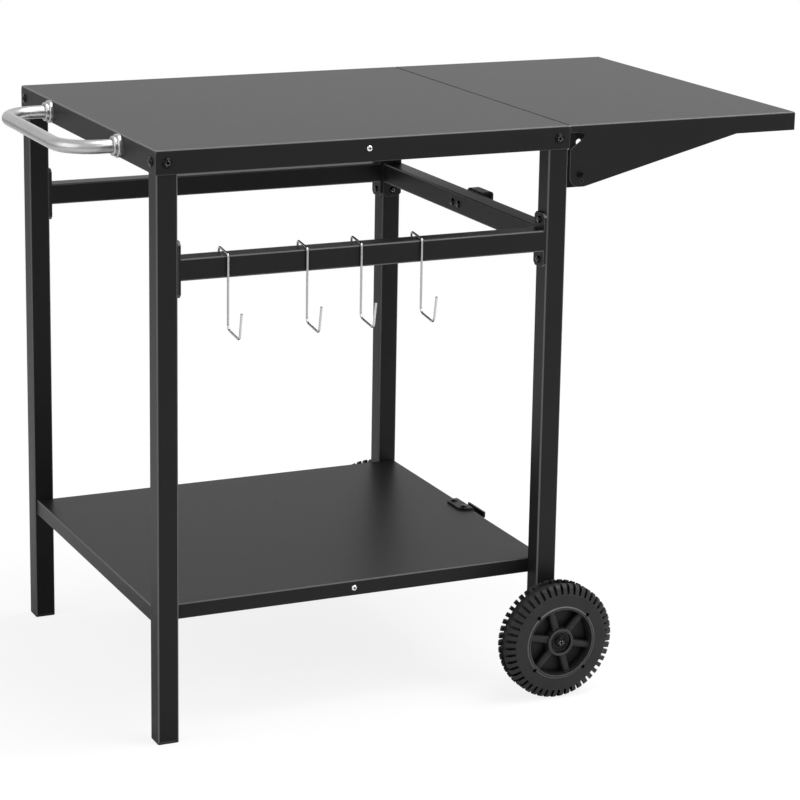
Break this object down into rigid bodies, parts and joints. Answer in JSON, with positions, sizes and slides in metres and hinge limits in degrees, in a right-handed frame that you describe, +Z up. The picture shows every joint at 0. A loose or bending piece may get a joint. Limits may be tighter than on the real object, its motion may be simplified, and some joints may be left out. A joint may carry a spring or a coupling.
{
  "type": "kitchen cart",
  "caption": "Rolling kitchen cart with a folded-sheet worktop, fold-down side table, lower shelf, bent-tube push handle, tool rail with wire hooks and ribbed wheels.",
  "frame": {"origin": "on the floor under the centre of the whole cart's box, with the side table up", "axes": "+X towards the side table, +Y towards the back, +Z up"},
  "size_m": [1.049, 0.686, 0.815],
  "materials": {
    "powder_coat": "satin black powder coat",
    "stainless": "satin stainless",
    "zinc_steel": "black zinc",
    "bright_wire": "bright wire",
    "wheel_plastic": "matte black",
    "cap_plastic": "matte black"
  },
  "bodies": {
    "cart_frame": {"main_top": "powder_coat", "top_rib": "powder_coat", "lower_shelf": "powder_coat", "shelf_rib": "powder_coat", "leg_front_left": "powder_coat", "leg_cap_front_left": "cap_plastic", "leg_back_left": "powder_coat", "leg_cap_back_left": "cap_plastic", "leg_front_right": "powder_coat", "leg_cap_front_right": "cap_plastic", "leg_back_right": "powder_coat", "leg_cap_back_right": "cap_plastic", "front_rail": "powder_coat", "back_rail": "powder_coat", "right_rail": "powder_coat", "handle_tube": "stainless", "handle_collar_front": "stainless", "handle_collar_back": "stainless", "hinge_bracket_front": "powder_coat", "hinge_bracket_back": "powder_coat", "axle_front": "zinc_steel", "axle_back": "zinc_steel", "hanger_upper": "powder_coat", "hanger_lower": "powder_coat"},
    "side_table": {"side_table": "powder_coat"},
    "wheel_front": {"wheel_front": "wheel_plastic"},
    "wheel_back": {"wheel_back": "wheel_plastic"},
    "hook_1": {"hook_1": "bright_wire"},
    "hook_2": {"hook_2": "bright_wire"},
    "hook_3": {"hook_3": "bright_wire"},
    "hook_4": {"hook_4": "bright_wire"}
  },
  "joints": [
    {"name": "side_table_fold", "type": "hinge", "parent": "cart_frame", "child": "side_table", "pos_m": [0.1792, 0, 0.746], "axis": [0, 1, 0], "range_deg": [0, 90]},
    {"name": "wheel_front_spin", "type": "hinge", "parent": "cart_frame", "child": "wheel_front", "pos_m": [0.1458, -0.3215, 0.084], "axis": [0, 1, 0], "continuous": true},
    {"name": "wheel_back_spin", "type": "hinge", "parent": "cart_frame", "child": "wheel_back", "pos_m": [0.1458, 0.3215, 0.084], "axis": [0, 1, 0], "continuous": true},
    {"name": "hook_1_slide", "type": "slide", "parent": "cart_frame", "child": "hook_1", "axis": [1, 0, 0], "range_m": [-0.055, 0.025]},
    {"name": "hook_2_slide", "type": "slide", "parent": "cart_frame", "child": "hook_2", "axis": [1, 0, 0], "range_m": [-0.025, 0.025]},
    {"name": "hook_3_slide", "type": "slide", "parent": "cart_frame", "child": "hook_3", "axis": [1, 0, 0], "range_m": [-0.025, 0.025]},
    {"name": "hook_4_slide", "type": "slide", "parent": "cart_frame", "child": "hook_4", "axis": [1, 0, 0], "range_m": [-0.025, 0.15]}
  ]
}
